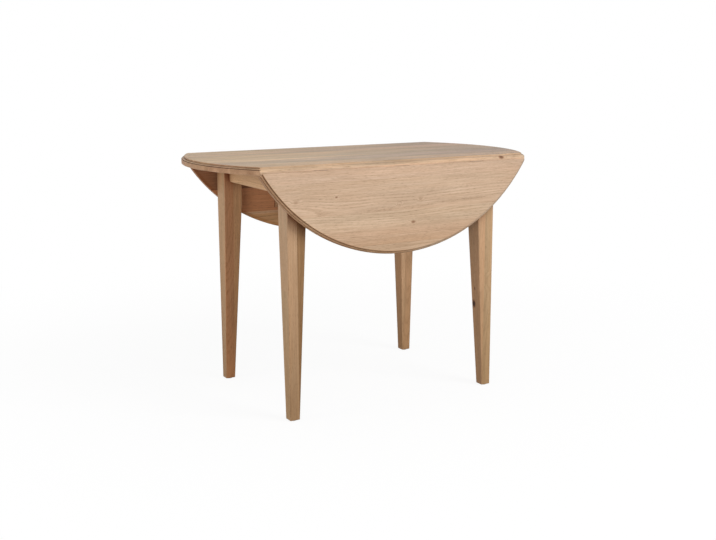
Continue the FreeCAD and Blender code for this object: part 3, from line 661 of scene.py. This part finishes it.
def oak(name, centre, grain, across, board, seed, boards, knots=(), rings=0.40, change="CONSTANT",
        patches=0.2, mottle=0.04, one_side=None, painted_shade_along=None, rim=None):
    """A material of oiled oak whose boards lie side by side across their grain."""
    made, tree = material(name)
    own = add(tree, "TexCoord", out="Object")
    looks = add(tree, "TexCoord", out="Normal")
    axes = board_axes(grain, across)
    flat = add(tree, "Mapping", {"Vector": own, "Location": centre,
                                 "Rotation": axes.transposed().to_euler()}, vector_type="TEXTURE")
    near_knots = [(axes @ (Vector(at) * mm - centre), radius * mm, dark)
                  for at, radius, dark in knots]
    place, knot = with_knots(tree, flat, near_knots)
    got = add(tree, "Group", {"Place": place, "Board": board, "Seed": seed},
              node_tree=figure).node.outputs

    # Colour: the figure, its stains, its lightness, knots and end grain, then painted shade in
    # grooves or corners.
    end_share = end_grain(tree, looks, grain)
    eased = add(tree, "Bevel", {"Radius": EDGE_RADIUS}, samples=EDGE_SAMPLES)
    wood = figured(tree, got, rings, patches, end_share)
    wood = stained(tree, wood, flat, looks, boards, change, one_side, painted_shade_along)
    wood = varied(tree, wood, got, eased, mottle)
    if knot is not None:
        wood = knot_stained(tree, wood, knot)
    wood = add(tree, "Mix", {0: end_share, MIX_A: wood, MIX_B: colour(END_SHADE)}, **MULTIPLY)
    wood = rim_with_groove_shade(tree, wood, own, *rim) if rim else corner_painted_shade(tree, wood, own)

    # Relief and sheen.
    sunk = add(tree, "Math", {0: got["Ring"], 1: RING_SINKS, 2: got["Pore"]},
               operation="MULTIPLY_ADD")
    hills = add(tree, "Math", {0: got["Fibre"], 1: sunk}, operation="SUBTRACT")
    relief = add(tree, "Bump", {"Strength": RELIEF_STRENGTH, "Distance": RELIEF_DEPTH,
                                "Height": hills, "Normal": eased})
    matt = add(tree, "MapRange", {"Value": sunk, "From Min": 0.0, "From Max": 1 + RING_SINKS,
                                  "To Min": SMOOTHEST, "To Max": ROUGHEST})
    surface = add(tree, "BsdfPrincipled", {"Base Color": wood, "Roughness": matt, "Normal": relief,
                                           "IOR": OIL_IOR, "Specular IOR Level": OIL_SPECULAR})
    add(tree, "OutputMaterial", {"Surface": surface})
    return made


def middle_of(node):
    """The middle of a node's box."""
    low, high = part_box(node)
    return (low + high) / 2


def coat(node, made):
    """Gives a node its finish."""
    slots = nodes[node].data.materials
    slots.clear()
    slots.append(made)


print("roughness of oiled oak:", SMOOTHEST, "to", ROUGHEST)

# %% [markdown]
# ## The panels
# The fixed panel and the leaves are glued from boards about 100 mm wide, all with their grain along
# the hinge lines. The leaves hang, so across the board is upwards there. Small pin knots sit where
# an oak board of this grade has them. The inner face of the rear leaf hangs in shade, and its
# stains
# carry painted shade: darker and redder, darkest high up under the top, with a pale stripe along
# one glue line and a lighter board below it. The top's streaks are stronger than elsewhere, a
# painted sheen greys its upward face, and painted shade and sheen make it darker and greyer towards
# one end.

# %% Stains of the panels
PANEL_BOARD = 96 * mm
STRIPE_LOW, STRIPE_HIGH = -67 * mm, -57 * mm    # a pale stripe, from the middle of the rear leaf
UPPER_BOARD = 22 * mm           # from the middle of the rear leaf
LOWER_BOARD = -PANEL_BOARD      # from the middle of the front leaf
PALE_FROM, PALEST_FROM = -60 * mm, -35 * mm     # from the middle of the front leaf
GLUE_LINE = 1 * mm

# the top's upward face: board tones, greyed as a painted sheen
TOP_FACE_WITH_SHEEN = [(WHOLE, "#F6FAF4"), (-2 * PANEL_BOARD, "#ECF5F6"), (-PANEL_BOARD, "#F2F8F4"),
            (0.0, "#F4F7EF"), (PANEL_BOARD, "#EFF5F0")]
FRONT_BOARDS = [(WHOLE, "#F0EFE9"), (LOWER_BOARD - GLUE_LINE, "#F0EFE9"), (LOWER_BOARD, "#E8E1D8"),
                (PALE_FROM, "#F4EFEA"), (PALEST_FROM, "#FBFFFF")]
# the rear leaf's outer face, with a mild copy of the inner face's painted shade on its upper board
REAR_OUTSIDE = [(WHOLE, "#F0F0EC"), (UPPER_BOARD, "#F4ECE4")]
# the inner face, in shade under the table: painted shade, darkest under the top
REAR_INSIDE_SHADED = [(WHOLE, "#FFECCB"), (STRIPE_LOW, "#FFF3E0"), (STRIPE_HIGH, "#FBD2B1"),
               (UPPER_BOARD, "#BA9A82")]
# painted shade and sheen: the top darker and greyer towards the right end
TOP_SHADE_AND_SHEEN = (-350 * mm, 350 * mm, "#E1E0EA", Z_AXIS)        # from, to, stain and the side that has it
print("boards across the top:", len(TOP_FACE_WITH_SHEEN))

# %% Panels
PANELS = {
    # node: (across its boards, stain of its rim, and the rest of its finish, with each knot as its
    # place and radius in mm and its darkness)
    "centre_top": (Y_AXIS, "#FFFCF8", {
        "seed": 3.0, "boards": [(WHOLE, "#F8FAF8")], "patches": 0.8, "mottle": 0.24,
        "one_side": (Z_AXIS, TOP_FACE_WITH_SHEEN), "painted_shade_along": TOP_SHADE_AND_SHEEN, "knots": [((364, -286, 741), 7, 0.75)]}),
    "leaf_front": (Z_AXIS, "#F4E6D6", {
        "seed": 11.0, "boards": FRONT_BOARDS, "change": "LINEAR",
        "knots": [((-222, -294, 655), 3, 0.55), ((-350, -294, 648), 5, 0.25),
                  ((37, -294, 565), 5, 0.55), ((63, -294, 631), 3, 0.2),
                  ((-12, -294, 620), 3, 0.2)]}),
    "leaf_rear": (Z_AXIS, "#F4E6D6", {
        "seed": 12.0, "boards": REAR_OUTSIDE, "one_side": (-Y_AXIS, REAR_INSIDE_SHADED),
        "knots": [((180, 294, 640), 4, 0.6)]}),
}
for node, (across, rim_stain, finish) in PANELS.items():
    # The rim's round lies flat on the fixed panel, and stands upright on a hanging leaf.
    hangs = across == Z_AXIS
    round_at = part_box(node)[0].z + RIM_RADIUS if hangs else 0.0
    coat(node, oak("oiled_oak_" + node, middle_of(node), X_AXIS, across, PANEL_BOARD,
                   rim=(Z_AXIS * round_at, X_AXIS + across, rim_stain), **finish))
print("panels:", len(PANELS))

# %% [markdown]
# ## The frame
# A leg is two staves glued together, so its front shows a join half way across, and each stave has
# a stain of its own. A painted shade darkens each leg towards its foot. Rails are one board each.
# The pieces that stay out of sight share the rails' stain.

# %% Legs
STAVE = 30 * mm
# painted shade: each leg darker towards its foot
FOOT_PAINTED_SHADE = (250 * mm, -365 * mm, "#E1D9CA", None)     # from and to, on every side of a leg
LEG_KNOTS = {"front_right": [((316, -224, 268), 9, 1.0), ((313, -230, 319), 4, 0.7),
                             ((340, -257, 347), 8, 0.10)]}
STAVES = {
    # corner: stain of the left face, of the left stave and of the right stave
    "front_left": ("#DBD6C6", "#E1DBCB", "#B3A58A"),
    "front_right": ("#DBCFBE", "#F2E8D7", "#EDEAD8"),
    "rear_left": ("#DFD4BE", "#DFC1A6", "#E5D0B2"),
    "rear_right": ("#DFCFB6", "#FFFAEC", "#EFE4D3"),
}
for seed, (corner, (face, left, right)) in enumerate(STAVES.items(), 21):
    leg = "leg_" + corner
    coat(leg, oak("oiled_oak_" + leg, middle_of(leg), Z_AXIS, X_AXIS, STAVE, seed,
                  [(WHOLE, left), (0.0, right)], LEG_KNOTS.get(corner, ()), rings=0.22,
                  patches=0.35, mottle=0.08, one_side=(-X_AXIS, [(WHOLE, face)]),
                  painted_shade_along=FOOT_PAINTED_SHADE))
print("legs:", len(STAVES))

# %% Rails and small pieces
RAIL_STAIN = [(WHOLE, "#F8EED6")]
CORNERS = {"front_left": (-1, -1), "front_right": (1, -1),
           "rear_left": (-1, 1), "rear_right": (1, 1)}
pieces = {"top_buttons": (Y_AXIS, X_AXIS)}      # node: (along its grain, across its board)
for corner, (side_x, side_y) in CORNERS.items():
    pieces["corner_block_" + corner] = (Vector((side_x, -side_y, 0)).normalized(), Z_AXIS)
    pieces["prop_arm_" + corner] = (Z_AXIS, X_AXIS)
    pieces["prop_keep_" + corner] = (X_AXIS, Z_AXIS)
for side in ("front", "rear"):
    pieces["side_rail_" + side] = (X_AXIS, Z_AXIS)
for end in ("left", "right"):
    pieces["end_rail_" + end] = (Y_AXIS, Z_AXIS)
for seed, (node, (grain, across)) in enumerate(pieces.items(), 41):
    coat(node, oak("oiled_oak_" + node, middle_of(node), grain, across, PANEL_BOARD, seed,
                   RAIL_STAIN, rings=0.3))
print("rails and small pieces:", len(pieces))

# %% [markdown]
# ## Metal and plastic
# Hinges, brackets and bolts are zinc-plated steel: a cool grey with a satin bloom of crystals and a
# few dull patches. The glides are moulded nylon, matt and slightly pitted.

# %% Steel
ZINC_CRYSTAL = 0.6 * mm
ZINC_PATCH = 14 * mm
BRIGHT_ZINC, DULL_ZINC = "#C9CBCC", "#A2A5A8"
BLOOM_LOW, BLOOM_HIGH = 0.3, 0.7        # levels of the patch noise
ZINC_SMOOTH, ZINC_ROUGH = 0.28, 0.46
CRYSTAL_ROUGH = 0.06            # how much rougher one crystal is than another
CRYSTAL_RELIEF = 0.15
FINE_DEPTH = 0.05 * mm          # of the relief of zinc and of nylon


def zinc_plated_steel():
    """Satin zinc plating on pressed steel."""
    made, tree = material("zinc_plated_steel")
    place = add(tree, "TexCoord", out="Object")
    bloom = add(tree, "TexNoise", {"Vector": place, "Scale": 1 / ZINC_PATCH, "Detail": 4.0})
    crystal = add(tree, "TexVoronoi", {"Vector": place, "Scale": 1 / ZINC_CRYSTAL}, out="Color")
    cell = add(tree, "SeparateColor", {0: crystal})
    dull = add(tree, "Mix", {0: bloom, MIX_A: colour(BRIGHT_ZINC), MIX_B: colour(DULL_ZINC)},
               **BLEND)
    rough = add(tree, "MapRange", {"Value": bloom, "From Min": BLOOM_LOW, "From Max": BLOOM_HIGH,
                                   "To Min": ZINC_SMOOTH, "To Max": ZINC_ROUGH})
    rougher = add(tree, "Math", {0: cell, 1: CRYSTAL_ROUGH, 2: rough}, operation="MULTIPLY_ADD")
    relief = add(tree, "Bump", {"Strength": CRYSTAL_RELIEF, "Distance": FINE_DEPTH, "Height": cell})
    surface = add(tree, "BsdfPrincipled", {"Base Color": dull, "Metallic": 1.0,
                                           "Roughness": rougher, "Normal": relief})
    add(tree, "OutputMaterial", {"Surface": surface})
    return made


METAL_WORDS = ("hinge", "screws", "bolts", "washers", "nuts", "bracket", "pins")
steel = zinc_plated_steel()
metal_nodes = [name for name in nodes if any(word in name for word in METAL_WORDS)]
for node in metal_nodes:
    coat(node, steel)
print("nodes of steel:", len(metal_nodes))

# %% Nylon
NYLON_PIT = 0.8 * mm
NYLON_SCUFF = 9 * mm
NYLON_BROWN, NYLON_WORN = "#4E3B2B", "#6B5440"
NYLON_SMOOTH, NYLON_ROUGH = 0.45, 0.65
NYLON_IOR = 1.53
PIT_RELIEF = 0.2


def moulded_nylon():
    """Brown moulded nylon with a fine spark-eroded surface."""
    made, tree = material("moulded_nylon")
    place = add(tree, "TexCoord", out="Object")
    pits = add(tree, "TexNoise", {"Vector": place, "Scale": 1 / NYLON_PIT, "Detail": 2.0})
    scuff = add(tree, "TexNoise", {"Vector": place, "Scale": 1 / NYLON_SCUFF, "Detail": 3.0})
    tint = add(tree, "Mix", {0: scuff, MIX_A: colour(NYLON_BROWN), MIX_B: colour(NYLON_WORN)},
               **BLEND)
    rough = add(tree, "MapRange", {"Value": pits, "To Min": NYLON_SMOOTH, "To Max": NYLON_ROUGH})
    relief = add(tree, "Bump", {"Strength": PIT_RELIEF, "Distance": FINE_DEPTH, "Height": pits})
    surface = add(tree, "BsdfPrincipled", {"Base Color": tint, "Roughness": rough, "Normal": relief,
                                           "IOR": NYLON_IOR})
    add(tree, "OutputMaterial", {"Surface": surface})
    return made


coat("foot_glides", moulded_nylon())
print("materials:", len(bpy.data.materials))
